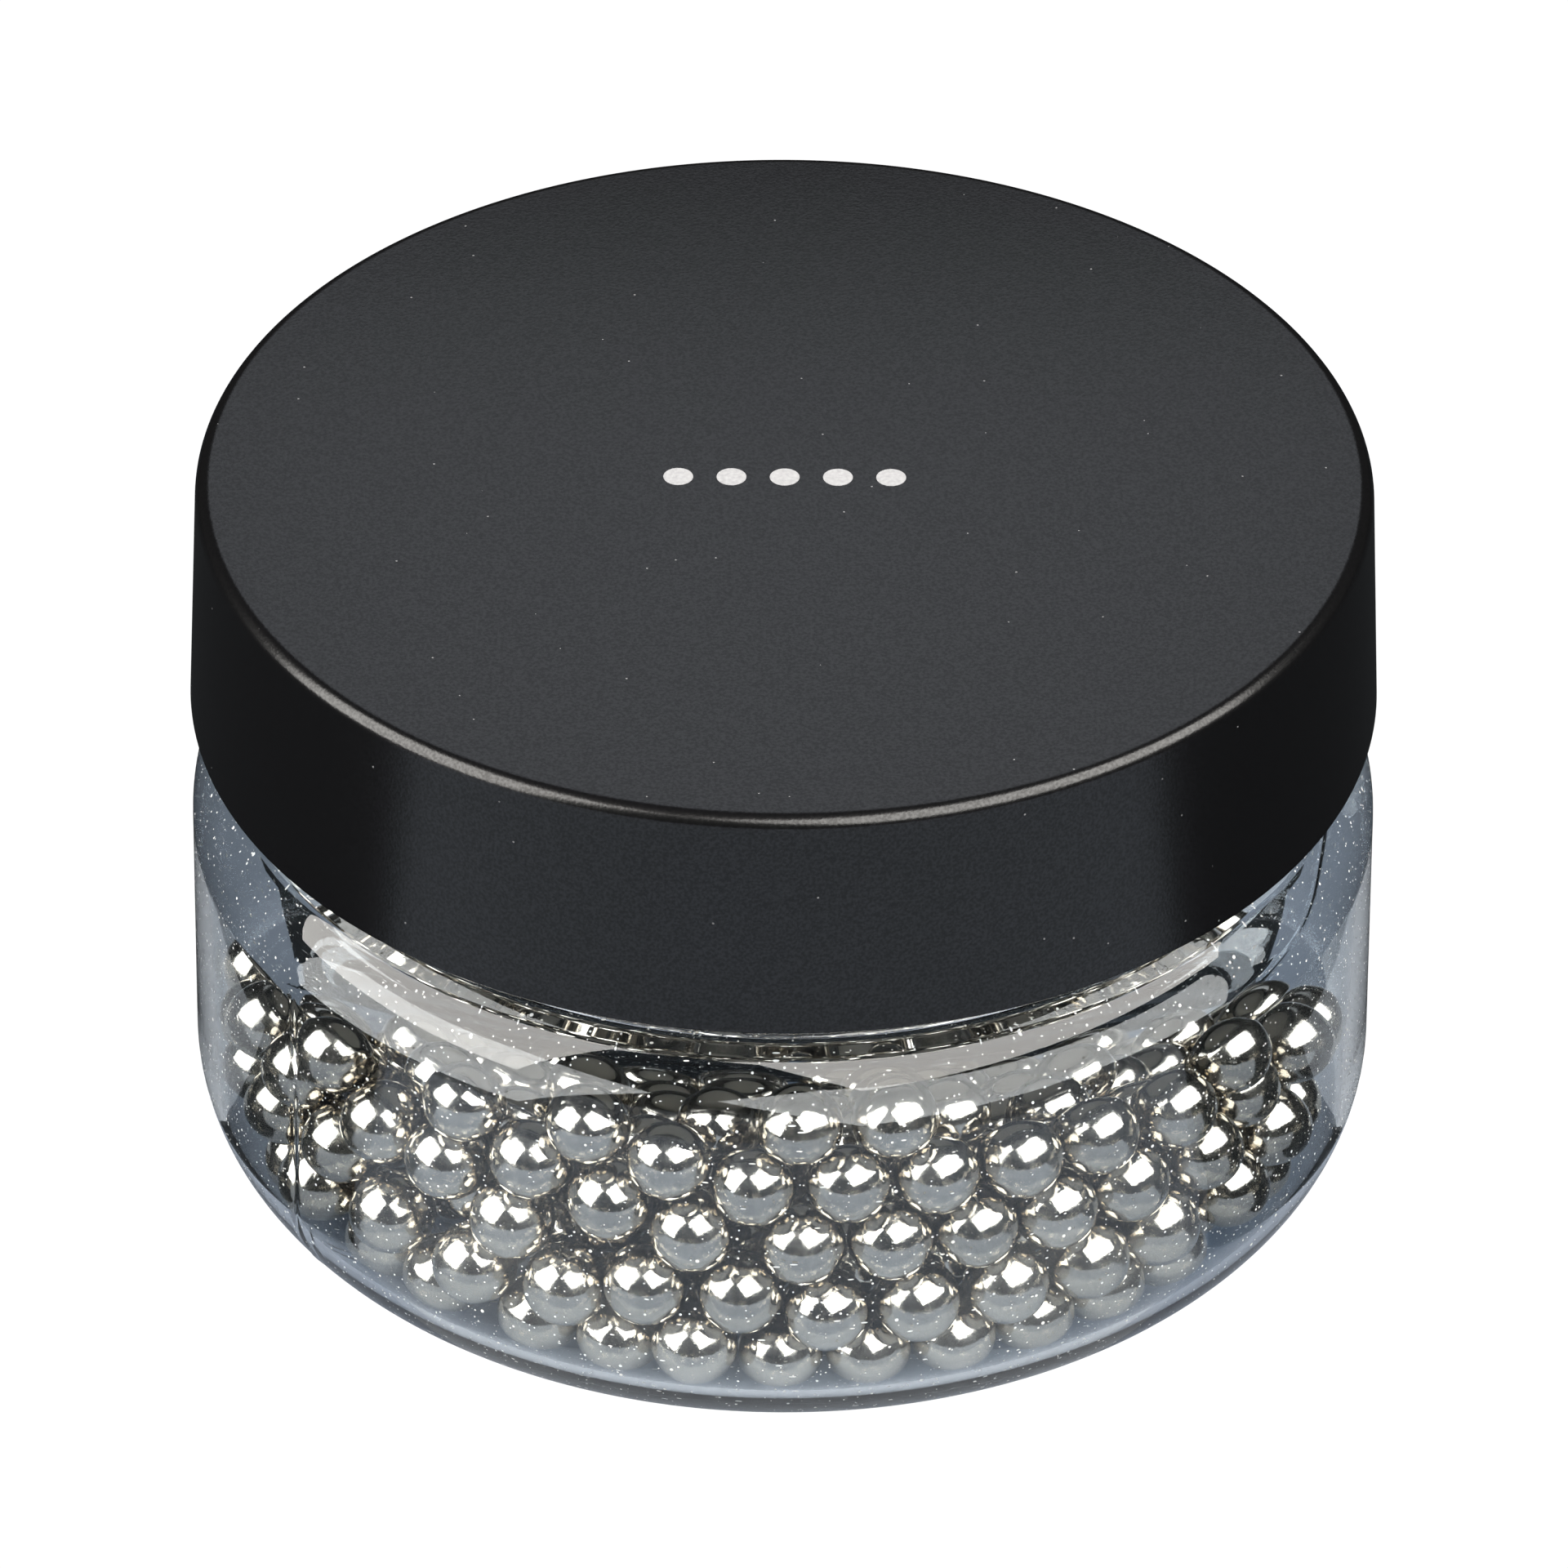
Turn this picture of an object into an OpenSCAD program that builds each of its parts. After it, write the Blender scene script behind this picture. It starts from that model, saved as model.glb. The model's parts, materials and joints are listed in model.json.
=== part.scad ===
/* [Jar] */
// Outer diameter of the jar and of the lid, which are flush
outer_d = 56.2; // [46:0.1:70]
// Height of the flat ledge at the top of the shoulder
ledge_h = 22.4; // [18:0.1:40]
// Radius of the rounded edge between the base and the wall
base_round = 6; // [4:0.1:8]
// Radius of the rounded shoulder
shoulder_round = 6; // [5:0.1:8]
// Height of the ledge above the centre of the shoulder's rounding
shoulder_rise = 4.2; // [3:0.1:4.4]
// Thickness of the side wall
wall_t = 0.95; // [0.7:0.05:1.3]
// Thickness of the base
base_t = 1.6; // [1.2:0.1:4]
// Thickness of the ledge, above the inside of the shoulder
ledge_t = 1; // [0.8:0.1:2]
// Radius of the rounded edges inside the body
inside_round = 4; // [3:0.1:5]
// Width of the foot ring that the jar stands on
foot_w = 2.5; // [1.5:0.1:5]
// Depth of the shallow hollow inside the foot ring
foot_hollow = 0.4; // [0.2:0.05:0.8]

/* [Neck and thread] */
// Height of the neck above the ledge
neck_h = 12; // [11.4:0.1:18]
// Thickness of the neck
neck_t = 1.3; // [1:0.1:1.8]
// Rounding of the neck's lip
lip_round = 0.4; // [0.2:0.05:0.6]
// Rounding between the ledge and the neck
neck_root = 0.6; // [0.3:0.1:0.9]
// Rise of the thread in one turn
thread_pitch = 4.23; // [4.1:0.01:4.8]
// How far the thread stands out
thread_depth = 1.2; // [0.8:0.1:1.3]
// Width of the thread's ridge at its root
thread_root_w = 1.8; // [1.4:0.1:1.9]
// Width of the thread's ridge at its crest
thread_crest_w = 0.8; // [0.5:0.1:1]
// Turns of thread on the jar
jar_turns = 1.25; // [1:0.05:1.4]
// Turns of thread in the lid
lid_turns = 1; // [0.5:0.05:1.1]
// Distance from the lip down to the middle of the thread's upper end
thread_drop = 1.7; // [1.5:0.1:2.2]
// Angle over which a ridge fades in and out at its ends
thread_fade = 30; // [20:5:45]
// Clear gap between the crests and the wall that they face
thread_clear = 0.3; // [0.2:0.05:0.5]

/* [Lid] */
// Height of the lid's lower edge above the ledge
lid_gap = 2.5; // [1:0.1:3]
// Thickness of the lid's top
lid_top_t = 1.3; // [1:0.1:2]
// Thickness of the lid's skirt at its thinnest, near the top
skirt_t = 1.2; // [0.9:0.1:2]
// How much smaller the lid's diameter is at its top
lid_taper = 0.8; // [0.2:0.1:1.2]
// Rounding of the lid's upper edge
lid_round = 0.5; // [0.3:0.05:0.8]
// Thickness of the foam liner
liner_t = 1; // [0.6:0.1:1.5]
// Clear gap between the liner's edge and the skirt
liner_clear = 0.3; // [0.1:0.05:0.5]
// Clear gap above and below the liner
face_clear = 0.05; // [0.02:0.01:0.1]

/* [Steel balls] */
// Diameter of each ball
ball_d = 4; // [3.3:0.1:4.8]
// Height that the middle of the top balls reaches on the jar's axis
fill_h = 8.2; // [5:0.1:16]
// Slope of the heap, which lies higher against the front wall
heap_slope = 0.46; // [0:0.01:0.55]
// Smallest gap round a ball that lies in the heap
ball_gap = 0.06; // [0.04:0.01:0.15]
// Number that sets the order in which the balls fall
ball_seed = 7; // [1:1:99]
// Spots tried for each ball before it rolls to rest
ball_trials = 40; // [20:1:80]

/* [Hidden] */
$fn = 96;
LAYERS = 12;
LOOSE = 6;

// Half-sections have x as the radius and y as the height
outer_r = outer_d / 2;
inside_r = outer_r - wall_t;
skirt_r = outer_r - lid_taper / 2 - skirt_t;
crest_r = skirt_r - thread_clear;
neck_r = crest_r - thread_depth;
bore_r = neck_r - neck_t;
liner_r = skirt_r - liner_clear;
shoulder_z = ledge_h - shoulder_rise;
under_ledge_z = ledge_h - ledge_t;
lip_z = ledge_h + neck_h;
liner_z = lip_z + face_clear;
ceiling_z = liner_z + liner_t + face_clear;
lid_top_z = ceiling_z + lid_top_t;
lid_low_z = ledge_h + lid_gap;
lid_h = lid_top_z - lid_low_z;

// Both ridges end at the same turn, the jar's at thread_top_z and the lid's half a pitch below it
thread_top_z = lip_z - thread_drop;
thread_low_z = thread_top_z - jar_turns * thread_pitch;
ridge_step = 7.5;
ridge_sink = 0.3;

// A ball's middle stays this far from whatever the ball rests on
ball_r = ball_d / 2;
reach = ball_r + ball_gap;
touch = ball_d + ball_gap;
wall_reach = inside_r - reach;
bore_reach = bore_r - reach - ball_gap;
round_r = inside_r - inside_round;
round_reach = inside_round - reach;
low_round_z = base_t + inside_round;
high_round_z = under_ledge_z - inside_round;
roll_steps = [for (k = [0:6]) ball_r / pow(2, k)];
roll_turns = [0:45:315];
roll_span = touch + ball_d + ball_gap;
no_spot = 1000;

// ---- Where the balls lie ----

// Lowest and highest place for a ball's middle at distance r from the axis
function floor_at(r) = r <= round_r
    ? base_t + reach
    : low_round_z - sqrt(max(0, pow(round_reach, 2) - pow(r - round_r, 2)));
function roof_at(r) = r <= bore_reach
    ? lip_z - reach
    : high_round_z + sqrt(max(0, pow(round_reach, 2) - pow(max(0, r - round_r), 2)));

// A ball let fall at a spot stops on the highest thing below it
function rest_on(x, y, balls) = [x, y, max(concat(
    [floor_at(norm([x, y]))],
    [for (b = balls)
        let (h = touch * touch - pow(b[0] - x, 2) - pow(b[1] - y, 2))
        if (h > 0) b[2] + sqrt(h)]
))];

// Height against the leaning surface of the heap
function level(p) = p[2] > roof_at(norm([p[0], p[1]])) ? no_spot : p[2] + heap_slope * p[1];
function lowest(spots) = let (l = [for (p = spots) level(p)]) spots[search(min(l), l)[0]];
function inside_wall(x, y) = let (r = norm([x, y])) r > wall_reach ? [x, y] * wall_reach / r : [x, y];
function near(p, balls) = [for (b = balls) if (norm([b[0] - p[0], b[1] - p[1]]) < roll_span) b];

// From a spot, the ball rolls down in ever smaller steps
function roll(p, balls, k = 0) = k == len(roll_steps) ? p : roll(
    lowest(concat([p], [for (a = roll_turns)
        let (q = inside_wall(p[0] + roll_steps[k] * cos(a), p[1] + roll_steps[k] * sin(a)))
        rest_on(q[0], q[1], balls)])),
    balls, k + 1
);
// Half of the spots lie along the wall, and the others are spread over the jar
function drop(i, balls) =
    let (a = rands(0, 360, ball_trials, ball_seed + 2 * i))
    let (u = rands(0, 1, ball_trials, ball_seed + 2 * i + 1))
    let (start = lowest([for (k = [0:ball_trials - 1])
        let (r = wall_reach * (k % 2 == 0 ? 1 : sqrt(u[k])))
        rest_on(r * cos(a[k]), r * sin(a[k]), balls)]))
    roll(start, near(start, balls));
// Balls fall until the next one would lie above the fill height
function heap(balls, next) = level(next) > fill_h
    ? balls
    : heap(concat(balls, [next]), drop(len(balls) + 1, concat(balls, [next])));
all_balls = heap([], drop(0, []));

// A ball is free when nothing lies over it and the bore lets it through
function is_free(i) = norm([all_balls[i][0], all_balls[i][1]]) < bore_reach
    && len([for (b = all_balls)
        if (b[2] > all_balls[i][2] && norm([b[0] - all_balls[i][0], b[1] - all_balls[i][1]]) < touch) b]) == 0;
free_balls = [for (i = [0:len(all_balls) - 1]) if (is_free(i)) i];
loose = [for (k = [0:LOOSE - 1]) free_balls[floor(k * len(free_balls) / LOOSE)]];
settled = [for (i = [0:len(all_balls) - 1]) if (len([for (j = loose) if (i == j) j]) == 0) all_balls[i]];

// ---- Parts ----

function numbered(name, k) = str(name, k < 10 ? "_0" : "_", k);

// A helical ridge that runs anticlockwise and upwards, standing out from wall_r to tip_r
module ridge(wall_r, tip_r, low_z, turns) {
    count = floor(turns * 360 / ridge_step);
    out = sign(tip_r - wall_r);
    hidden_r = wall_r - out * ridge_sink;
    points = [for (i = [0:count])
        let (a = i * ridge_step)
        let (grown = min(1, a / thread_fade, (count - i) * ridge_step / thread_fade))
        let (r = hidden_r + out * ridge_sink / 2 + (tip_r - hidden_r - out * ridge_sink / 2) * grown)
        let (z = low_z + thread_pitch * a / 360)
        for (p = [
            [hidden_r, -thread_root_w / 2],
            [hidden_r, thread_root_w / 2],
            [r, thread_crest_w / 2],
            [r, -thread_crest_w / 2]
        ]) [p[0] * cos(a), p[0] * sin(a), z + p[1]]];
    sides = [for (i = [0:count - 1]) for (j = [0:3])
        let (a = 4 * i + j)
        let (b = 4 * i + (j + 1) % 4)
        for (f = [[a, a + 4, b + 4], [a, b + 4, b]]) f];
    ends = [[0, 1, 2], [0, 2, 3], [4 * count + 2, 4 * count + 1, 4 * count], [4 * count + 3, 4 * count + 2, 4 * count]];
    faces = concat(sides, ends);
    polyhedron(points, out > 0 ? faces : [for (f = faces) [f[2], f[1], f[0]]], convexity = 6);
}

// The jar's outer half-section: foot, rounded base, wall, rounded shoulder and neck
module jar_outline() {
    edge_r = outer_r - base_round;
    difference() {
        union() {
            square([edge_r, ledge_h]);
            translate([0, base_round])
                square([outer_r, shoulder_z - base_round]);
            translate([edge_r, base_round])
                circle(base_round);
            intersection() {
                translate([outer_r - shoulder_round, shoulder_z])
                    circle(shoulder_round);
                square([outer_r, ledge_h]);
            }
            square([outer_r - shoulder_round, ledge_h]);
            difference() {
                square([neck_r + neck_root, ledge_h + neck_root]);
                translate([neck_r + neck_root, ledge_h + neck_root])
                    circle(neck_root);
            }
            square([neck_r, lip_z - lip_round]);
            square([neck_r - lip_round, lip_z]);
            translate([neck_r - lip_round, lip_z - lip_round])
                circle(lip_round);
        }
        square([edge_r - foot_w, foot_hollow]);
    }
}

// The hollow inside the jar
module jar_hollow() {
    translate([0, base_t])
        square([round_r, under_ledge_z - base_t]);
    translate([0, low_round_z])
        square([inside_r, high_round_z - low_round_z]);
    translate([round_r, low_round_z])
        circle(inside_round);
    translate([round_r, high_round_z])
        circle(inside_round);
    translate([0, base_t])
        square([bore_r, lip_z]);
}

module jar() color("lightsteelblue", 0.4) {
    rotate_extrude()
        difference() {
            jar_outline();
            jar_hollow();
        }
    ridge(neck_r, crest_r, thread_low_z, jar_turns);
}

// The lid's outer half-section has a slight taper and a rounded upper edge
module lid_outline() {
    round_x = outer_r - lid_taper / 2 - lid_round;
    round_y = lid_h - lid_round;
    lean = atan(lid_taper / 2 / round_y);
    polygon([
        [0, 0],
        [outer_r, 0],
        [round_x + lid_round * cos(lean), round_y + lid_round * sin(lean)],
        [round_x, lid_h],
        [0, lid_h]
    ]);
    translate([round_x, round_y])
        circle(lid_round);
}

module lid() color("#2b2b2d") {
    translate([0, 0, lid_low_z])
        rotate_extrude()
            difference() {
                lid_outline();
                translate([0, -1])
                    square([skirt_r, ceiling_z - lid_low_z + 1]);
            }
    rotate([0, 0, 360 * (jar_turns - lid_turns)])
        ridge(skirt_r, neck_r + thread_clear, thread_top_z - (lid_turns + 0.5) * thread_pitch, lid_turns);
}

module liner() color("white")
    translate([0, 0, liner_z])
        cylinder(r = liner_r, h = liner_t);

module ball(p) color("silver")
    translate(p)
        sphere(d = ball_d);

// The settled balls are shared out over the layers in the order in which they fell
module balls_layer(k) {
    first = floor((k - 1) * len(settled) / LAYERS);
    last = floor(k * len(settled) / LAYERS) - 1;
    for (i = [first:last]) ball(settled[i]);
}

module loose_ball(k) ball(all_balls[loose[k - 1]]);

jar();
lid();
liner();
for (k = [1:LAYERS]) balls_layer(k);
for (k = [1:LOOSE]) loose_ball(k);
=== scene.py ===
"""A small clear jar of polished steel balls with a satin black screw lid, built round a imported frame."""

import json
from math import asin, atan2, ceil, cos, degrees, pi, radians, sin, sqrt

import bmesh
import bpy
from bpy.props import FloatProperty, FloatVectorProperty, IntProperty, PointerProperty
from mathutils import Matrix, Vector

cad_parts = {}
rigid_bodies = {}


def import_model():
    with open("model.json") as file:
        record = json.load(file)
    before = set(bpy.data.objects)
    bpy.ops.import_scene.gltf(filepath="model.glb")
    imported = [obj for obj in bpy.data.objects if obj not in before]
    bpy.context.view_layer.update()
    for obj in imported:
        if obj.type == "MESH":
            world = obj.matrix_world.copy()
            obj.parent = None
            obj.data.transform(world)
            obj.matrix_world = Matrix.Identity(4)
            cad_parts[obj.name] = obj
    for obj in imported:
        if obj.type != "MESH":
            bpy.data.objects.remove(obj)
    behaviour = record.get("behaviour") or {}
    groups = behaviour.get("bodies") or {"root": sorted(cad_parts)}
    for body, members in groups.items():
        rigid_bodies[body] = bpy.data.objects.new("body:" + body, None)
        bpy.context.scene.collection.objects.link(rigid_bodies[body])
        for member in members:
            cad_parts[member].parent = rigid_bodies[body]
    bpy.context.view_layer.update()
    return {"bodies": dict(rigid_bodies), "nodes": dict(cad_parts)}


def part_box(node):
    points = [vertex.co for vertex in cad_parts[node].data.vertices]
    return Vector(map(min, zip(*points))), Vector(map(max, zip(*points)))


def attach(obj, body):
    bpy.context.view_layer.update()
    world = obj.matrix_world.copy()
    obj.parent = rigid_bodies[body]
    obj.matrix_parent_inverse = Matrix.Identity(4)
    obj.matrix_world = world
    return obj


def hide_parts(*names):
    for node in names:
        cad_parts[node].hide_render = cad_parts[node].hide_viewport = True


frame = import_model()

bl_info = {
    "name": "Jar of Steel Balls",
    "version": (1, 0, 0),
    "blender": (4, 5, 0),
    "location": "3D View > Sidebar > Ball Jar",
    "description": "Builds a clear jar of steel balls with a black screw lid, and a studio round it",
    "category": "Object",
}

MM = 0.001
SEGMENTS = 288  # steps round a turned piece
THREAD_STEP = 0.14  # height of the steps up a threaded wall, in mm
SEAM_HALF_WIDTH = 0.5  # of the mould's parting lines, in degrees
SAME = 0.001  # radii closer than this are the same, in mm


def node_top(node):
    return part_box(node)[1].z / MM


def node_bottom(node):
    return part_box(node)[0].z / MM


def node_radius(node):
    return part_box(node)[1].x / MM


# ---- Sizes and colours that a user would change ----


def linear(hex_colour, alpha=1.0):
    """An sRGB hex colour as linear RGBA."""
    parts = [int(hex_colour[i : i + 2], 16) / 255 for i in (1, 3, 5)]
    values = [c / 12.92 if c <= 0.04045 else ((c + 0.055) / 1.055) ** 2.4 for c in parts]
    return (*values, alpha)


def colour(name, description, hex_colour):
    """A colour property whose default is an sRGB hex value."""
    return FloatVectorProperty(
        name=name, description=description, default=linear(hex_colour), size=4,
        min=0.0, max=1.0, subtype="COLOR",
    )


class JarSizes(bpy.types.PropertyGroup):
    """Sizes of the clear jar, in millimetres."""

    ledge_height: FloatProperty(
        name="Ledge height", description="Height of the ledge on the shoulder", default=22.4
    )
    base_rounding: FloatProperty(
        name="Base rounding", description="Radius between base and wall", default=6.0
    )
    shoulder_rounding: FloatProperty(
        name="Shoulder rounding", description="Radius of the shoulder", default=6.0
    )
    shoulder_rise: FloatProperty(
        name="Shoulder rise", description="Ledge above the centre of the rounding", default=4.2
    )
    wall: FloatProperty(name="Wall", description="Thickness of the side wall", default=0.95)
    base: FloatProperty(name="Base", description="Thickness of the base", default=1.6)
    ledge: FloatProperty(name="Ledge", description="Thickness of the ledge", default=1.0)
    inside_rounding: FloatProperty(
        name="Inside rounding", description="Radius of the rounded inside edges", default=4.0
    )
    foot_width: FloatProperty(
        name="Foot width", description="Width of the foot ring", default=2.5
    )
    foot_hollow: FloatProperty(
        name="Foot hollow", description="Depth inside the foot ring", default=0.4
    )
    neck_radius: FloatProperty(
        name="Neck radius", description="Radius of the neck under its thread", default=25.0
    )
    neck_root: FloatProperty(
        name="Neck root", description="Rounding between the ledge and the neck", default=0.6
    )
    neck_wall: FloatProperty(
        name="Neck wall", description="Thickness of the neck", default=1.3
    )
    lip_rounding: FloatProperty(
        name="Lip rounding", description="Radius of the lip's edges", default=0.4
    )
    seam: FloatProperty(
        name="Seam", description="Height of the mould's parting lines", default=0.04
    )
    seam_angle: FloatProperty(
        name="Seam angle", description="Where one parting line runs, from +X",
        default=radians(215.3), subtype="ANGLE",
    )


class LidSizes(bpy.types.PropertyGroup):
    """Sizes of the screw lid and its thread, in millimetres."""

    top: FloatProperty(name="Top", description="Thickness of the lid's top", default=1.3)
    skirt_radius: FloatProperty(
        name="Skirt radius", description="Radius inside the skirt", default=26.5
    )
    taper: FloatProperty(
        name="Taper", description="How much smaller the radius is at the top", default=0.4
    )
    edge_rounding: FloatProperty(
        name="Edge rounding", description="Radius of the upper edge", default=0.7
    )
    pitch: FloatProperty(
        name="Thread pitch", description="Rise of the thread in one turn", default=4.23
    )
    thread_depth: FloatProperty(
        name="Thread depth", description="How far the thread stands out", default=1.2
    )
    thread_root: FloatProperty(
        name="Thread root", description="Width of the ridge at its root", default=1.8
    )
    thread_crest: FloatProperty(
        name="Thread crest", description="Width of the ridge at its crest", default=0.8
    )
    thread_fade: FloatProperty(
        name="Thread fade", description="Turn over which the thread's ends grow",
        default=radians(30), subtype="ANGLE",
    )
    thread_drop: FloatProperty(
        name="Thread drop", description="From the lip down to the thread's upper end", default=1.7
    )
    jar_turns: FloatProperty(
        name="Jar turns", description="Turns of thread on the jar", default=1.25
    )
    lid_turns: FloatProperty(
        name="Lid turns", description="Turns of thread in the lid", default=1.0
    )


class BallSizes(bpy.types.PropertyGroup):
    """Sizes of the steel balls."""

    diameter: FloatProperty(name="Diameter", description="Of each ball, in millimetres", default=4.0)
    smoothness: IntProperty(name="Smoothness", description="Subdivisions of each ball", default=4)


class MarkSizes(bpy.types.PropertyGroup):
    """Sizes of the row of dots printed on the lid, in millimetres."""

    count: IntProperty(name="Dots", description="How many dots there are", default=5)
    spacing: FloatProperty(name="Spacing", description="Between the dots' middles", default=2.5)
    radius: FloatProperty(name="Radius", description="Radius of each dot", default=0.7)
    film: FloatProperty(name="Film", description="Thickness of the ink", default=0.015)


class Colours(bpy.types.PropertyGroup):
    """Colours of the finishes."""

    steel_dark: colour("Darker steel", "Steel of the darkest balls", "#c8c1b5")
    steel_light: colour("Lighter steel", "Steel of the lightest balls", "#d8d1c6")
    clear: colour("Clear plastic", "Tint of the jar", "#eef3f7")
    lid: colour("Lid", "Colour of the lid's plastic", "#0a0a0b")
    # Painted shade: the darker colour deep in the lid's grain stands for the shade in its pits
    lid_pit_shade: colour("Lid's pits", "Colour deep in the lid's grain", "#070708")
    foam: colour("Foam", "Colour of the liner", "#f3f3f0")
    ink: colour("Ink", "Colour of the printed dots", "#adadaf")
    dust: colour("Dust", "Colour of the dust on the jar", "#dededb")


class StudioSettings(bpy.types.PropertyGroup):
    """Camera and lights."""

    elevation: FloatProperty(
        name="Elevation", description="Camera above the horizon", default=radians(35.46),
        subtype="ANGLE",
    )
    distance: FloatProperty(
        name="Distance", description="Camera to aim point", default=0.7484, subtype="DISTANCE"
    )
    aim: FloatVectorProperty(
        name="Aim", description="Point that the camera looks at",
        default=(0.00004, 0.0, 0.01911), subtype="TRANSLATION",
    )
    lens: FloatProperty(
        name="Lens", description="Focal length in millimetres", default=360.9, unit="CAMERA"
    )
    roll: FloatProperty(
        name="Roll", description="Turn of the camera about its view", default=radians(0.29),
        subtype="ANGLE",
    )
    softbox_light: FloatProperty(
        name="Softbox light", description="Brightness of both front softboxes", default=7.0
    )
    backdrop_light: FloatProperty(
        name="Backdrop light", description="Brightness of the panel behind", default=0.85
    )
    room_light: FloatProperty(
        name="Room light", description="Brightness of the dim room", default=0.03
    )


# ---- Shader nodes ----


def add(tree, kind, settings=None, **inputs):
    """A new shader node with each input set or linked, by its name or, as _6, by its number."""
    node = tree.nodes.new(kind)
    for key, value in (settings or {}).items():
        setattr(node, key, value)
    for key, value in inputs.items():
        label = int(key[1:]) if key[0] == "_" else key.replace("_", " ")
        socket = node.inputs[label]
        if isinstance(value, bpy.types.NodeSocket):
            tree.links.new(value, socket)
        else:
            socket.default_value = value
    return node


def new_material(name):
    """An empty material with its output node."""
    material = bpy.data.materials.new(name)
    material.use_nodes = True
    tree = material.node_tree
    tree.nodes.clear()
    return material, tree, tree.nodes.new("ShaderNodeOutputMaterial")


def per_mm(size):
    """Texture scale for a pattern whose cells are this many millimetres wide."""
    return 1 / (size * MM)


def flecks(tree, place, spacing, size, share):
    """Spots of dust: one in a share of the cells, whose spacing and size are in millimetres."""
    cells = add(tree, "ShaderNodeTexVoronoi", None, Vector=place, Scale=per_mm(spacing))
    small = add(
        tree, "ShaderNodeMath", {"operation": "LESS_THAN"},
        _0=cells.outputs["Distance"], _1=size / spacing,
    )
    picked = add(tree, "ShaderNodeSeparateColor", None, Color=cells.outputs["Color"])
    chosen = add(
        tree, "ShaderNodeMath", {"operation": "LESS_THAN"}, _0=picked.outputs[0], _1=share
    )
    both = add(
        tree, "ShaderNodeMath", {"operation": "MULTIPLY"}, _0=small.outputs[0], _1=chosen.outputs[0]
    )
    return both.outputs[0]


def streaks(tree, place, turn):
    """Coordinates in which round spots become short hairline scratches, turned by degrees."""
    turned = add(
        tree, "ShaderNodeMapping", None, Vector=place,
        Rotation=[radians(a) for a in turn], Scale=(0.22, 1.0, 1.0),
    )
    return turned.outputs["Vector"]


# ---- Materials ----


def polished_stainless(colours):
    """Tumble-polished stainless steel: bright and mirror-like, with a fine haze and small marks."""
    material, tree, out = new_material("polished_stainless_steel")
    place = add(tree, "ShaderNodeTexCoord").outputs["Object"]
    haze = add(tree, "ShaderNodeTexNoise", None, Vector=place, Scale=per_mm(0.9), Detail=3.0)
    rough = add(
        tree, "ShaderNodeMapRange", None,
        Value=haze.outputs["Fac"], From_Min=0.35, From_Max=0.7, To_Min=0.08, To_Max=0.19,
    )
    marks = add(tree, "ShaderNodeTexNoise", None, Vector=place, Scale=per_mm(0.16), Detail=2.0)
    bump = add(
        tree, "ShaderNodeBump", None, Strength=0.25, Distance=0.02 * MM,
        Height=marks.outputs["Fac"],
    )
    each = add(tree, "ShaderNodeNewGeometry").outputs["Random Per Island"]
    tint = add(
        tree, "ShaderNodeMix", {"data_type": "RGBA"},
        _0=each, _6=colours.steel_dark, _7=colours.steel_light,
    )
    steel = add(
        tree, "ShaderNodeBsdfPrincipled", None,
        Base_Color=tint.outputs[2], Metallic=1.0, Roughness=rough.outputs["Result"],
        Normal=bump.outputs["Normal"],
    )
    tree.links.new(steel.outputs[0], out.inputs["Surface"])
    return material


def clear_plastic(colours):
    """Injection-moulded clear plastic: glossy, faintly blue-grey, with dust flecks clinging to it."""
    material, tree, out = new_material("clear_moulded_plastic")
    place = add(tree, "ShaderNodeTexCoord").outputs["Object"]
    wave = add(tree, "ShaderNodeTexNoise", None, Vector=place, Scale=per_mm(6.0), Detail=1.0)
    bump = add(
        tree, "ShaderNodeBump", None, Strength=0.15, Distance=0.05 * MM,
        Height=wave.outputs["Fac"],
    )
    clear = add(
        tree, "ShaderNodeBsdfPrincipled", None,
        Base_Color=colours.clear, Roughness=0.015, IOR=1.57,
        Transmission_Weight=1.0, Normal=bump.outputs["Normal"],
    )
    lets_light = add(tree, "ShaderNodeBsdfTransparent", None, Color=linear("#e9eef3"))
    shadow = add(tree, "ShaderNodeLightPath").outputs["Is Shadow Ray"]
    body = add(
        tree, "ShaderNodeMixShader", None, _0=shadow, _1=clear.outputs[0], _2=lets_light.outputs[0]
    )
    specks = [
        flecks(tree, place, 0.42, 0.042, 0.55),
        flecks(tree, place, 0.7, 0.065, 0.45),
        flecks(tree, place, 1.3, 0.09, 0.45),
        flecks(tree, streaks(tree, place, (20, 0, 35)), 0.6, 0.04, 0.6),
        flecks(tree, streaks(tree, place, (-30, 25, 110)), 0.7, 0.04, 0.6),
    ]
    fleck = specks[0]
    for speck in specks[1:]:
        fleck = add(
            tree, "ShaderNodeMath", {"operation": "MAXIMUM"}, _0=fleck, _1=speck
        ).outputs[0]
    dust = add(tree, "ShaderNodeBsdfDiffuse", None, Color=colours.dust)
    surface = add(
        tree, "ShaderNodeMixShader", None, _0=fleck, _1=body.outputs[0], _2=dust.outputs[0]
    )
    tree.links.new(surface.outputs[0], out.inputs["Surface"])
    return material


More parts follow.
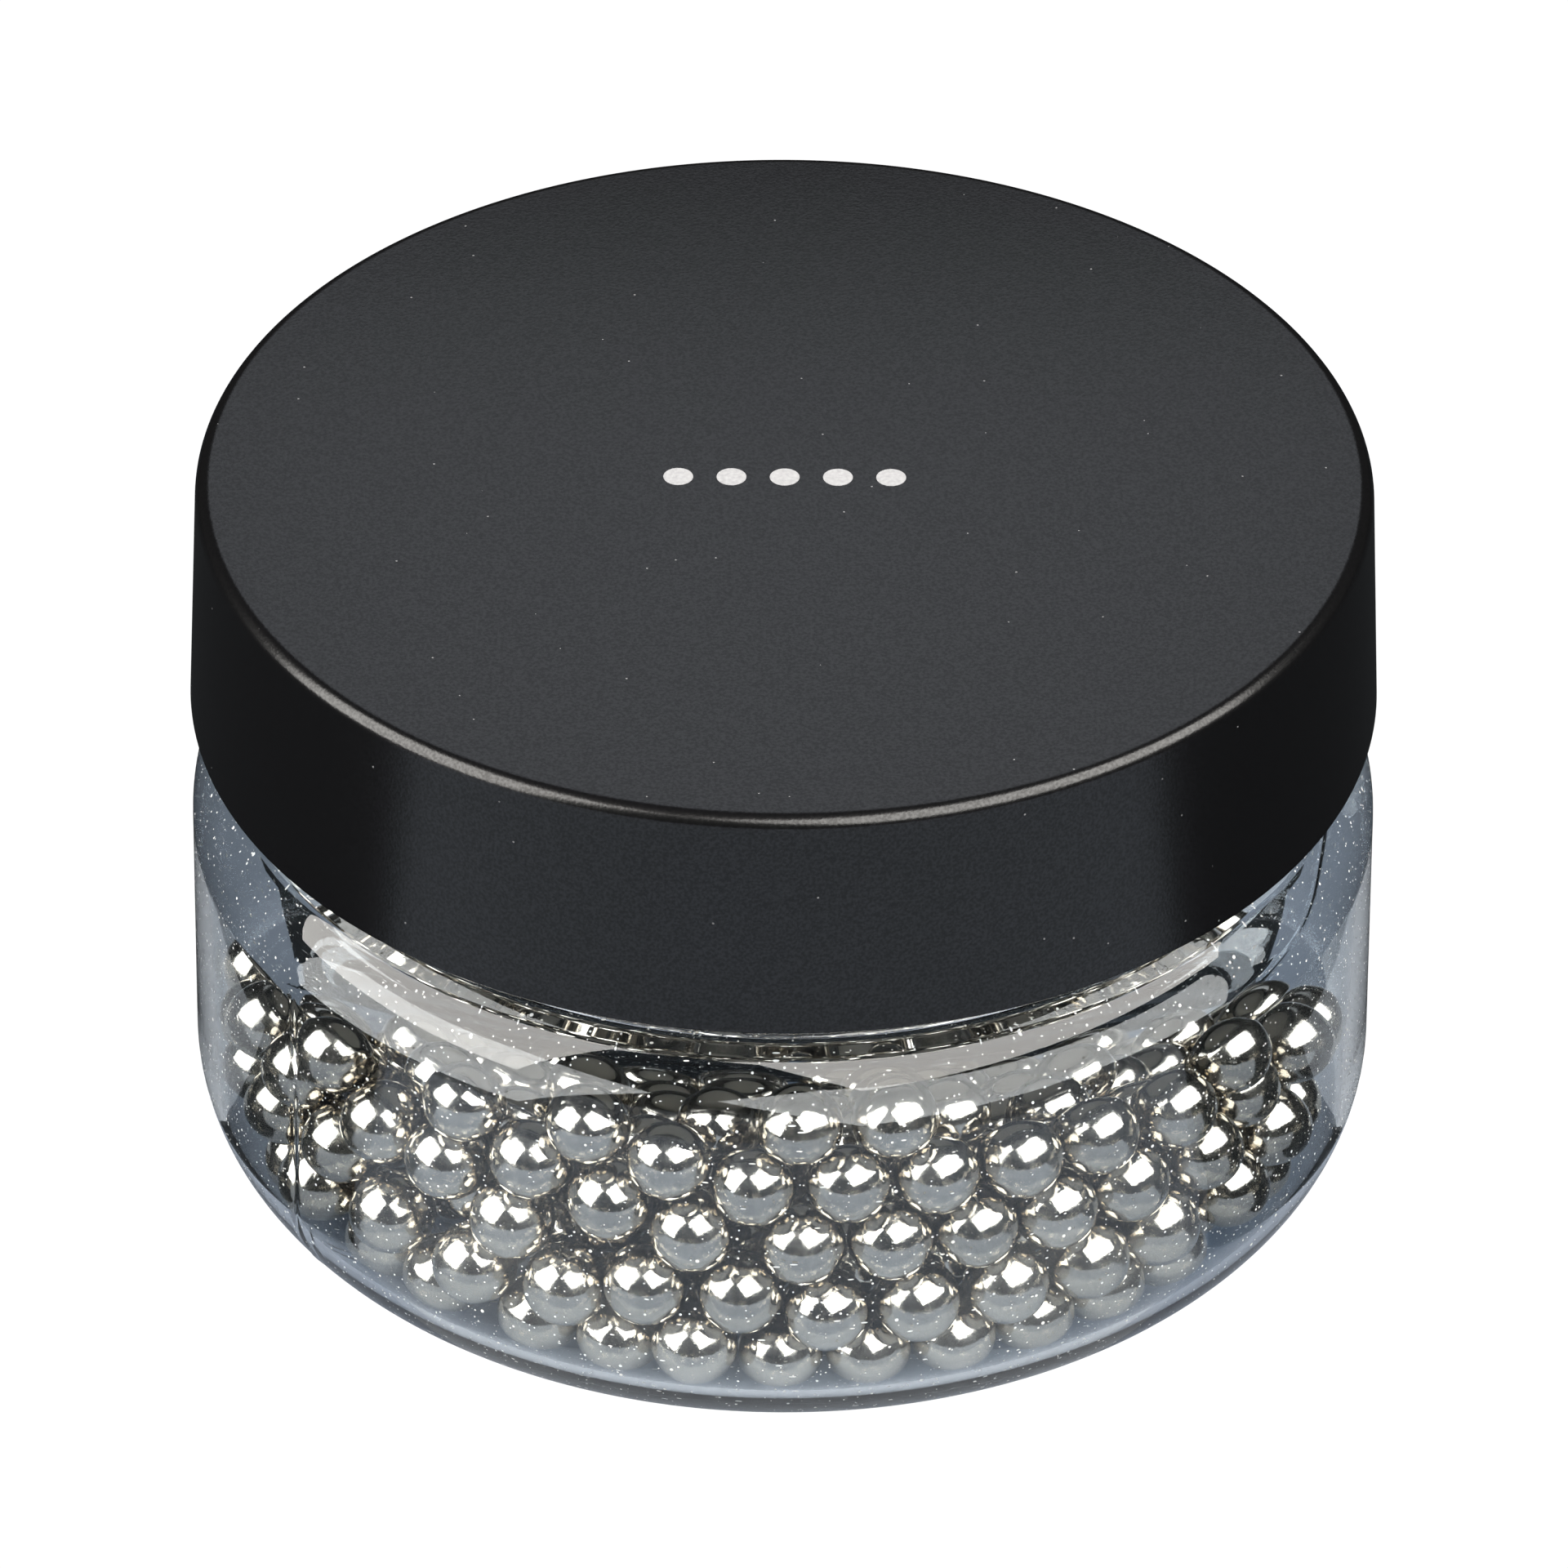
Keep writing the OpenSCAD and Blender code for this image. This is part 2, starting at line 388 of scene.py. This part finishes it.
def black_textured_plastic(colours):
    """Moulded plastic from a spark-eroded tool: satin black with an even, very fine grain."""
    material, tree, out = new_material("black_spark_textured_plastic")
    place = add(tree, "ShaderNodeTexCoord").outputs["Object"]
    # The real grain is about 0.08 mm; it is drawn at 0.15 mm so that it shows
    grain = add(tree, "ShaderNodeTexNoise", None, Vector=place, Scale=per_mm(0.15), Detail=3.0)
    bump = add(
        tree, "ShaderNodeBump", None, Strength=0.35, Distance=0.02 * MM,
        Height=grain.outputs["Fac"],
    )
    # Darker where the grain is low: painted shade in its pits
    shade = add(
        tree, "ShaderNodeMix", {"data_type": "RGBA"},
        _0=grain.outputs["Fac"], _6=colours.lid_pit_shade, _7=colours.lid,
    )
    # Grey dust flecks over the grain's colour and its painted pit shade
    dust_and_pit_shade = add(
        tree, "ShaderNodeMix", {"data_type": "RGBA"},
        _0=flecks(tree, place, 1.3, 0.05, 0.6), _6=shade.outputs[2], _7=linear("#6b6b6c"),
    )
    # The grain's low places reflect less, standing in for the shade in the pits between the grains:
    # painted shade
    gloss = add(
        tree, "ShaderNodeMapRange", None,
        Value=grain.outputs["Fac"], From_Min=0.38, From_Max=0.62, To_Min=0.38, To_Max=0.6,
    )
    plastic = add(
        tree, "ShaderNodeBsdfPrincipled", None,
        Base_Color=dust_and_pit_shade.outputs[2], Roughness=0.23, IOR=1.5,
        Specular_IOR_Level=gloss.outputs["Result"], Normal=bump.outputs["Normal"],
    )
    tree.links.new(plastic.outputs[0], out.inputs["Surface"])
    return material


def closed_cell_foam(colours):
    """White closed-cell foam sheet: matte, with cells of a third of a millimetre."""
    material, tree, out = new_material("white_closed_cell_foam")
    place = add(tree, "ShaderNodeTexCoord").outputs["Object"]
    cells = add(tree, "ShaderNodeTexVoronoi", None, Vector=place, Scale=per_mm(0.35))
    bump = add(
        tree, "ShaderNodeBump", None, Strength=0.3, Distance=0.05 * MM,
        Height=cells.outputs["Distance"],
    )
    # Darker in the cells' hollows, where the bump is lowest: painted shade
    shade = add(
        tree, "ShaderNodeMix", {"data_type": "RGBA"},
        _0=cells.outputs["Distance"], _6=linear("#e6e6e2"), _7=colours.foam,
    )
    foam = add(
        tree, "ShaderNodeBsdfPrincipled", None,
        Base_Color=shade.outputs[2], Roughness=0.85, Normal=bump.outputs["Normal"],
    )
    tree.links.new(foam.outputs[0], out.inputs["Surface"])
    return material


def pad_print_ink(colours):
    """Light grey pad-printing ink: a thin matte film, slightly patchy over the grain below it."""
    material, tree, out = new_material("light_grey_pad_print_ink")
    place = add(tree, "ShaderNodeTexCoord").outputs["Object"]
    patch = add(tree, "ShaderNodeTexNoise", None, Vector=place, Scale=per_mm(0.2), Detail=2.0)
    shade = add(
        tree, "ShaderNodeMix", {"data_type": "RGBA"},
        _0=patch.outputs["Fac"], _6=linear("#7f7f81"), _7=colours.ink,
    )
    ink = add(
        tree, "ShaderNodeBsdfPrincipled", None, Base_Color=shade.outputs[2], Roughness=0.6
    )
    tree.links.new(ink.outputs[0], out.inputs["Surface"])
    return material


def studio_white():
    """The pale surroundings as the camera sees them: even white."""
    material, tree, out = new_material("even_white_paper")
    glow = add(tree, "ShaderNodeEmission", None, Color=linear("#ffffff"), Strength=1.05)
    tree.links.new(glow.outputs[0], out.inputs["Surface"])
    return material


def dark_table():
    """Matte black tabletop, a shade above black so that it takes a little light."""
    material, tree, out = new_material("matte_black_table")
    top = add(tree, "ShaderNodeBsdfDiffuse", None, Color=linear("#1d1f21"))
    tree.links.new(top.outputs[0], out.inputs["Surface"])
    return material


def studio_paper(name, dark, light):
    """Matte background paper or card, between two shades."""
    material, tree, out = new_material(name)
    place = add(tree, "ShaderNodeTexCoord").outputs["Object"]
    fibre = add(tree, "ShaderNodeTexNoise", None, Vector=place, Scale=per_mm(40.0), Detail=2.0)
    shade = add(
        tree, "ShaderNodeMix", {"data_type": "RGBA"},
        _0=fibre.outputs["Fac"], _6=linear(dark), _7=linear(light),
    )
    paper = add(
        tree, "ShaderNodeBsdfPrincipled", None, Base_Color=shade.outputs[2], Roughness=0.9
    )
    tree.links.new(paper.outputs[0], out.inputs["Surface"])
    return material


# ---- Shapes ----


def arc(centre, radius, start, end, steps):
    """Points of an arc in the half-section, from one angle to another in degrees."""
    angles = [radians(start + (end - start) * i / steps) for i in range(steps + 1)]
    return [(centre[0] + radius * cos(a), centre[1] + radius * sin(a)) for a in angles]


def column(radius, low, high):
    """Points up or down a straight wall, close enough together to carry a thread."""
    count = ceil(abs(high - low) / THREAD_STEP)
    return [(radius, low + (high - low) * i / count) for i in range(1, count)]


def ridge_height(angle, z, low_z, turns, sizes):
    """How far a helical ridge stands out at this angle (degrees) and height."""
    total = turns * 360
    fade = degrees(sizes.thread_fade)
    best = 0.0
    for wrap in range(ceil(turns) + 1):
        along = angle + 360 * wrap
        if along > total:
            break
        grown = min(1.0, along / fade, (total - along) / fade)
        middle = low_z + sizes.pitch * along / 360
        root = sizes.thread_root / 2
        crest = sizes.thread_crest / 2
        side = (root - abs(z - middle)) / (root - crest)
        side = max(0.0, min(1.0, side))
        best = max(best, side * side * (3 - 2 * side) * max(0.0, grown))
    return best * sizes.thread_depth


def seam_height(angle, seam_angle):
    """Height of the mould's two parting lines at this angle, from 0 to 1."""
    away = min(abs((angle - seam_angle - side + 180) % 360 - 180) for side in (0, 180))
    return max(0.0, 1 - (away / SEAM_HALF_WIDTH) ** 2)


def lathe(name, outline, bulge=None, extra_angles=()):
    """A turned mesh from a half-section in mm that starts and ends on the axis."""
    points = []
    faces = []
    rows = []
    angles = sorted({360 * i / SEGMENTS for i in range(SEGMENTS)} | set(extra_angles))
    for r, z in outline:
        if r == 0:
            rows.append([len(points)])
            points.append((0, 0, z * MM))
            continue
        rows.append(list(range(len(points), len(points) + len(angles))))
        for angle in angles:
            out = r + (bulge(angle, r, z) if bulge else 0)
            points.append((out * MM * cos(radians(angle)), out * MM * sin(radians(angle)), z * MM))
    for low, high in zip(rows, rows[1:]):
        for i in range(len(angles)):
            j = (i + 1) % len(angles)
            if len(low) == 1:
                faces.append((low[0], high[j], high[i]))
            elif len(high) == 1:
                faces.append((low[i], low[j], high[0]))
            else:
                faces.append((low[i], low[j], high[j], high[i]))
    return make_object(name, points, faces, crease=40)


def make_object(name, points, faces, crease):
    """A smooth-shaded mesh object, sharp where faces meet at more than the crease angle."""
    mesh = bpy.data.meshes.new(name)
    mesh.from_pydata(points, [], faces)
    mesh.validate()
    mesh.shade_smooth()
    mesh.set_sharp_from_angle(angle=radians(crease))
    piece = bpy.data.objects.new(name, mesh)
    bpy.context.scene.collection.objects.link(piece)
    return piece


def fit(piece, body, slot, material, *nodes):
    """Puts a piece on its body with its material, and hides the CAD nodes it stands for; the slot is not
    used.
    """
    piece.data.materials.append(material)
    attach(piece, body)
    if nodes:
        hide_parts(*nodes)


def ball_middles(node):
    """The middle of each separate ball in a node, in an order that is the same each run."""
    mesh = bmesh.new()
    mesh.from_mesh(node.data)
    bmesh.ops.remove_doubles(mesh, verts=mesh.verts, dist=0.001 * MM)
    unseen = set(mesh.verts)
    middles = []
    while unseen:
        edge = [unseen.pop()]
        low = edge[0].co.copy()
        high = edge[0].co.copy()
        while edge:
            vert = edge.pop()
            low = Vector(map(min, low, vert.co))
            high = Vector(map(max, high, vert.co))
            for link in vert.link_edges:
                other = link.other_vert(vert)
                if other in unseen:
                    unseen.remove(other)
                    edge.append(other)
        middles.append((low + high) / 2)
    mesh.free()
    return sorted(middles, key=tuple)


def balls(name, middles, sizes):
    """One piece that holds a smooth ball at each middle."""
    mesh = bmesh.new()
    for middle in middles:
        bmesh.ops.create_icosphere(
            mesh, subdivisions=sizes.smoothness, radius=sizes.diameter * MM / 2,
            matrix=Matrix.Translation(middle),
        )
    data = bpy.data.meshes.new(name)
    mesh.to_mesh(data)
    mesh.free()
    data.shade_smooth()
    piece = bpy.data.objects.new(name, data)
    bpy.context.scene.collection.objects.link(piece)
    return piece


def jar_outline(s, outer, lip):
    """Half-section of the jar, from the middle of its underside round to the middle of its floor."""
    edge = outer - s.base_rounding
    shoulder_x = outer - s.shoulder_rounding
    shoulder_z = s.ledge_height - s.shoulder_rise
    end = degrees(asin(s.shoulder_rise / s.shoulder_rounding))
    given_up = 1.2  # degrees of the shoulder, for the softened edge of the ledge
    soft = 0.12
    root = s.neck_root
    bore = s.neck_radius - s.neck_wall
    inside = outer - s.wall
    round_x = inside - s.inside_rounding
    high_z = s.ledge_height - s.ledge - s.inside_rounding
    low_z = s.base + s.inside_rounding
    bore_z = sqrt(s.inside_rounding**2 - (bore - round_x) ** 2)
    ledge_x = shoulder_x + s.shoulder_rounding * cos(radians(end))
    lip_x = s.neck_radius - s.lip_rounding
    return [
        (0, s.foot_hollow),
        (edge - s.foot_width - soft, s.foot_hollow),
        (edge - s.foot_width, s.foot_hollow - soft),
        (edge - s.foot_width, soft),
        (edge - s.foot_width + soft, 0),
        *arc((edge, s.base_rounding), s.base_rounding, -90, 0, 24),
        *arc((shoulder_x, shoulder_z), s.shoulder_rounding, 0, end - given_up, 20),
        (ledge_x - soft, s.ledge_height),
        *arc((s.neck_radius + root, s.ledge_height + root), root, 270, 180, 8),
        *column(s.neck_radius, s.ledge_height + root, lip - s.lip_rounding),
        *arc((lip_x, lip - s.lip_rounding), s.lip_rounding, 0, 90, 6),
        *arc((bore + s.lip_rounding, lip - s.lip_rounding), s.lip_rounding, 90, 180, 6),
        *arc(
            (round_x, high_z), s.inside_rounding, degrees(atan2(bore_z, bore - round_x)), 0, 20
        ),
        *arc((round_x, low_z), s.inside_rounding, 0, -90, 20),
        (0, s.base),
    ]


def lid_outline(s, outer, low, top):
    """Half-section of the lid, from the middle of its ceiling down the skirt and up to its top."""
    round_x = outer - s.taper - s.edge_rounding
    round_z = top - s.edge_rounding
    lean = degrees(atan2(s.taper, round_z - low))
    soft = 0.15
    ceiling = top - s.top
    return [
        (0, ceiling),
        (s.skirt_radius - soft, ceiling),
        (s.skirt_radius, ceiling - soft),
        *column(s.skirt_radius, ceiling - soft, low + soft),
        (s.skirt_radius, low + soft),
        (s.skirt_radius + soft, low),
        (outer - soft, low),
        (outer, low + soft),
        *arc((round_x, round_z), s.edge_rounding, lean, 90, 10),
        (0, top),
    ]


# ---- Operators ----


class BALLJAR_OT_jar(bpy.types.Operator):
    """Make the clear jar with its threaded neck"""

    bl_idname = "ball_jar.jar"
    bl_label = "Clear jar"

    def execute(self, context):
        sizes = context.scene.jar_sizes
        thread = context.scene.lid_sizes
        lip = node_top("jar")
        low_z = lip - thread.thread_drop - thread.jar_turns * thread.pitch
        outer = node_radius("jar")
        edge = outer - sizes.base_rounding
        seam_angle = degrees(sizes.seam_angle)

        def bulge(angle, r, z):
            if abs(r - sizes.neck_radius) < SAME and z > sizes.ledge_height:
                return ridge_height(angle, z, low_z, thread.jar_turns, thread)
            outside = r > outer - sizes.wall / 2 or (r > edge and z < sizes.base_rounding / 2)
            if outside and z < sizes.ledge_height - sizes.shoulder_rise:
                return sizes.seam * seam_height(angle, seam_angle)
            return 0

        near_seam = [
            (seam_angle + side + SEAM_HALF_WIDTH * part) % 360
            for side in (0, 180) for part in (-1, -0.7, -0.4, 0, 0.4, 0.7, 1)
        ]
        outline = jar_outline(sizes, outer, lip)
        piece = lathe("jar_body", outline, bulge, near_seam)
        fit(piece, "jar", "clear_plastic", clear_plastic(context.scene.colours), "jar")
        return {"FINISHED"}


class BALLJAR_OT_lid(bpy.types.Operator):
    """Make the black screw lid with its inner thread"""

    bl_idname = "ball_jar.lid"
    bl_label = "Screw lid"

    def execute(self, context):
        sizes = context.scene.lid_sizes
        lip = node_top("jar")
        low_z = lip - sizes.thread_drop - (sizes.lid_turns + 0.5) * sizes.pitch

        def bulge(angle, r, z):
            if abs(r - sizes.skirt_radius) > SAME:
                return 0
            start = 360 * (sizes.jar_turns - sizes.lid_turns)
            return -ridge_height((angle - start) % 360, z, low_z, sizes.lid_turns, sizes)

        outline = lid_outline(sizes, node_radius("lid"), node_bottom("lid"), node_top("lid"))
        piece = lathe("lid_shell", outline, bulge)
        plastic = black_textured_plastic(context.scene.colours)
        fit(piece, "lid", "black_plastic", plastic, "lid")
        return {"FINISHED"}


class BALLJAR_OT_mark(bpy.types.Operator):
    """Print a plain row of dots in the middle of the lid"""

    bl_idname = "ball_jar.mark"
    bl_label = "Printed dots"

    def execute(self, context):
        sizes = context.scene.mark_sizes
        sides = 48
        top = node_top("lid")
        points = []
        faces = []
        for k in range(sizes.count):
            middle = (k - (sizes.count - 1) / 2) * sizes.spacing
            first = len(points)
            for z in (top, top + sizes.film):
                for i in range(sides):
                    a = 2 * pi * i / sides
                    x = middle + sizes.radius * cos(a)
                    points.append((x * MM, sizes.radius * sin(a) * MM, z * MM))
            low = list(range(first, first + sides))
            high = [i + sides for i in low]
            faces.append(tuple(high))
            faces.append(tuple(reversed(low)))
            for i in range(sides):
                j = (i + 1) % sides
                faces.append((low[i], low[j], high[j], high[i]))
        piece = make_object("lid_dots", points, faces, crease=30)
        fit(piece, "lid", "lid_print", pad_print_ink(context.scene.colours))
        return {"FINISHED"}


class BALLJAR_OT_liner(bpy.types.Operator):
    """Make the foam disc that seals the lid"""

    bl_idname = "ball_jar.liner"
    bl_label = "Foam liner"

    def execute(self, context):
        low = node_bottom("liner")
        high = node_top("liner")
        radius = node_radius("liner")
        soft = 0.2
        outline = [
            (0, low),
            *arc((radius - soft, low + soft), soft, -90, 0, 5),
            *arc((radius - soft, high - soft), soft, 0, 90, 5),
            (0, high),
        ]
        piece = lathe("foam_liner", outline)
        fit(piece, "liner", "liner_foam", closed_cell_foam(context.scene.colours), "liner")
        return {"FINISHED"}


class BALLJAR_OT_balls(bpy.types.Operator):
    """Give every steel ball its polished finish"""

    bl_idname = "ball_jar.balls"
    bl_label = "Steel balls"

    def execute(self, context):
        steel = polished_stainless(context.scene.colours)
        for name, node in frame["nodes"].items():
            if "ball" not in name:
                continue
            middles = ball_middles(node)
            if not middles:
                raise RuntimeError("no balls found in " + name)
            piece = balls(name.replace("ball", "steel_ball"), middles, context.scene.ball_sizes)
            body = name if name in frame["bodies"] else "jar"
            fit(piece, body, "ball_steel", steel, name)
        return {"FINISHED"}


class BALLJAR_OT_studio(bpy.types.Operator):
    """Set the pale floor, the soft lights and the camera"""

    bl_idname = "ball_jar.studio"
    bl_label = "Studio"

    def execute(self, context):
        settings = context.scene.studio_settings
        self.floors()
        warm = "#fffcf7"
        cool = "#f0f6ff"
        front_light = settings.softbox_light
        self.softbox("softbox_left", -72, 32, 0.5, 0.52, 0.52, front_light, warm)
        self.softbox("softbox_right", 52, 48, 0.5, 0.77, 0.45, front_light, warm)
        self.softbox("backdrop_panel", 180, 46, 0.22, 0.12, 0.12, settings.backdrop_light, cool)
        world = bpy.data.worlds.new("dim_room")
        context.scene.world = world
        world.use_nodes = True
        background = world.node_tree.nodes["Background"]
        background.inputs["Color"].default_value = linear("#fffdf8")
        background.inputs["Strength"].default_value = settings.room_light
        context.scene.view_settings.view_transform = "Standard"
        self.camera(settings)
        return {"FINISHED"}

    def floors(self):
        """White surroundings for the camera, and the paper and table whose light reaches the jar."""
        paper = studio_paper("pale_studio_paper", "#6f7681", "#757c87")
        card = studio_paper("grey_studio_card", "#8b9097", "#91969d")
        light_card = studio_paper("white_studio_card", "#a8acb2", "#aeb2b8")
        front = ((-600, -600), (600, -600), (600, -250), (34, -19), (-34, -19), (-600, -250))
        near = ((-26, -36), (26, -36), (30, -20), (-30, -20))
        under = ((-28.5, -20), (28.5, -20), (28.5, 15), (-28.5, 15))
        outer = ((-42, -2), (-28, -2), (-28, 40), (-42, 40))
        inner = ((-28, 10), (-21, 16), (-21, 40), (-28, 40))
        wide = ((-3000, -3000), (3000, -3000), (3000, 3000), (-3000, 3000))
        lit = ("diffuse", "glossy", "transmission", "shadow")
        through = ("transmission",)
        self.room()
        self.sheet("paper_front", paper, front, -0.3, lit)
        self.sheet("card_near", card, near, -0.25, lit)
        self.sheet("paper_under", paper, under, -0.2, lit)
        self.sheet("dark_table", dark_table(), wide, -1, lit)
        # Cards beside and behind the jar show only through its walls
        for name, finish, corners in (("outer", light_card, outer), ("inner", paper, inner)):
            mirrored = [(-x, y) for x, y in reversed(corners)]
            self.sheet(name + "_card_left", finish, corners, -0.25, through)
            self.sheet(name + "_card_right", finish, mirrored, -0.25, through)

    def room(self):
        """Pale walls and floor that only the camera sees."""
        half = 3.0  # metres
        low = -2 * MM
        points = [
            (x, y, z) for z in (low, half) for x, y in
            ((-half, -half), (half, -half), (half, half), (-half, half))
        ]
        faces = [(3, 2, 1, 0), (4, 5, 6, 7)]
        faces += [(i, (i + 1) % 4, (i + 1) % 4 + 4, i + 4) for i in range(4)]
        self.stage("white_room", points, faces, studio_white(), ("camera",))

    def sheet(self, name, material, corners, z, seen_by):
        """A flat sheet on the floor, in mm, that the camera sees only in the jar and lid."""
        points = [(x * MM, y * MM, z * MM) for x, y in corners]
        self.stage(name, points, [tuple(range(len(points)))], material, seen_by)

    def stage(self, name, points, faces, material, seen_by):
        """A piece of the studio, seen only by the kinds of ray that are listed."""
        piece = make_object(name, points, faces, crease=30)
        piece.data.materials.append(material)
        for kind in ("camera", "diffuse", "glossy", "transmission", "shadow"):
            setattr(piece, "visible_" + kind, kind in seen_by)

    def softbox(self, name, azimuth, elevation, distance, width, height, radiance, tint):
        """A light that faces the jar: degrees to the right of the camera's side and up, metres."""
        middle = Vector((0, 0, 20 * MM))
        light = bpy.data.lights.new(name, "AREA")
        light.shape = "RECTANGLE"
        light.size = width
        light.size_y = height
        light.energy = radiance * pi * width * height
        light.color = linear(tint)[:3]
        lamp = bpy.data.objects.new(name, light)
        bpy.context.scene.collection.objects.link(lamp)
        a = radians(azimuth)
        e = radians(elevation)
        back = Vector((sin(a) * cos(e), -cos(a) * cos(e), sin(e)))
        lamp.location = middle + back * distance
        lamp.rotation_euler = back.to_track_quat("Z", "Y").to_euler()
        lamp.visible_camera = False

    def camera(self, s):
        """The camera, at its distance and elevation from the point that it looks at."""
        data = bpy.data.cameras.new("camera")
        data.lens = s.lens
        data.sensor_width = 36.0
        data.clip_start = 0.05
        data.clip_end = 10.0
        camera = bpy.data.objects.new("camera", data)
        bpy.context.scene.collection.objects.link(camera)
        back = Vector((0, -cos(s.elevation), sin(s.elevation)))
        turn = back.to_track_quat("Z", "Y").to_matrix() @ Matrix.Rotation(s.roll, 3, "Z")
        camera.matrix_world = Matrix.Translation(Vector(s.aim) + back * s.distance) @ turn.to_4x4()
        bpy.context.scene.camera = camera


class BALLJAR_PT_panel(bpy.types.Panel):
    """Lists the jar's parts and their sizes"""

    bl_idname = "BALLJAR_PT_panel"
    bl_label = "Ball Jar"
    bl_space_type = "VIEW_3D"
    bl_region_type = "UI"
    bl_category = "Ball Jar"

    def draw(self, context):
        for part in PARTS:
            self.layout.operator(part.bl_idname)
        for group in GROUPS:
            box = self.layout.box()
            settings = getattr(context.scene, group)
            for name in settings.__annotations__:
                box.prop(settings, name)


GROUPS = {
    "jar_sizes": JarSizes,
    "lid_sizes": LidSizes,
    "ball_sizes": BallSizes,
    "mark_sizes": MarkSizes,
    "colours": Colours,
    "studio_settings": StudioSettings,
}
PARTS = (
    BALLJAR_OT_studio,
    BALLJAR_OT_jar,
    BALLJAR_OT_balls,
    BALLJAR_OT_liner,
    BALLJAR_OT_lid,
    BALLJAR_OT_mark,
)


def register():
    for cls in (*GROUPS.values(), *PARTS, BALLJAR_PT_panel):
        bpy.utils.register_class(cls)
    for name, cls in GROUPS.items():
        setattr(bpy.types.Scene, name, PointerProperty(type=cls))


def unregister():
    for name in GROUPS:
        delattr(bpy.types.Scene, name)
    for cls in reversed((*GROUPS.values(), *PARTS, BALLJAR_PT_panel)):
        bpy.utils.unregister_class(cls)


def main():
    register()
    for part in PARTS:
        group, name = part.bl_idname.split(".")
        getattr(getattr(bpy.ops, group), name)()


if __name__ == "__main__":
    main()
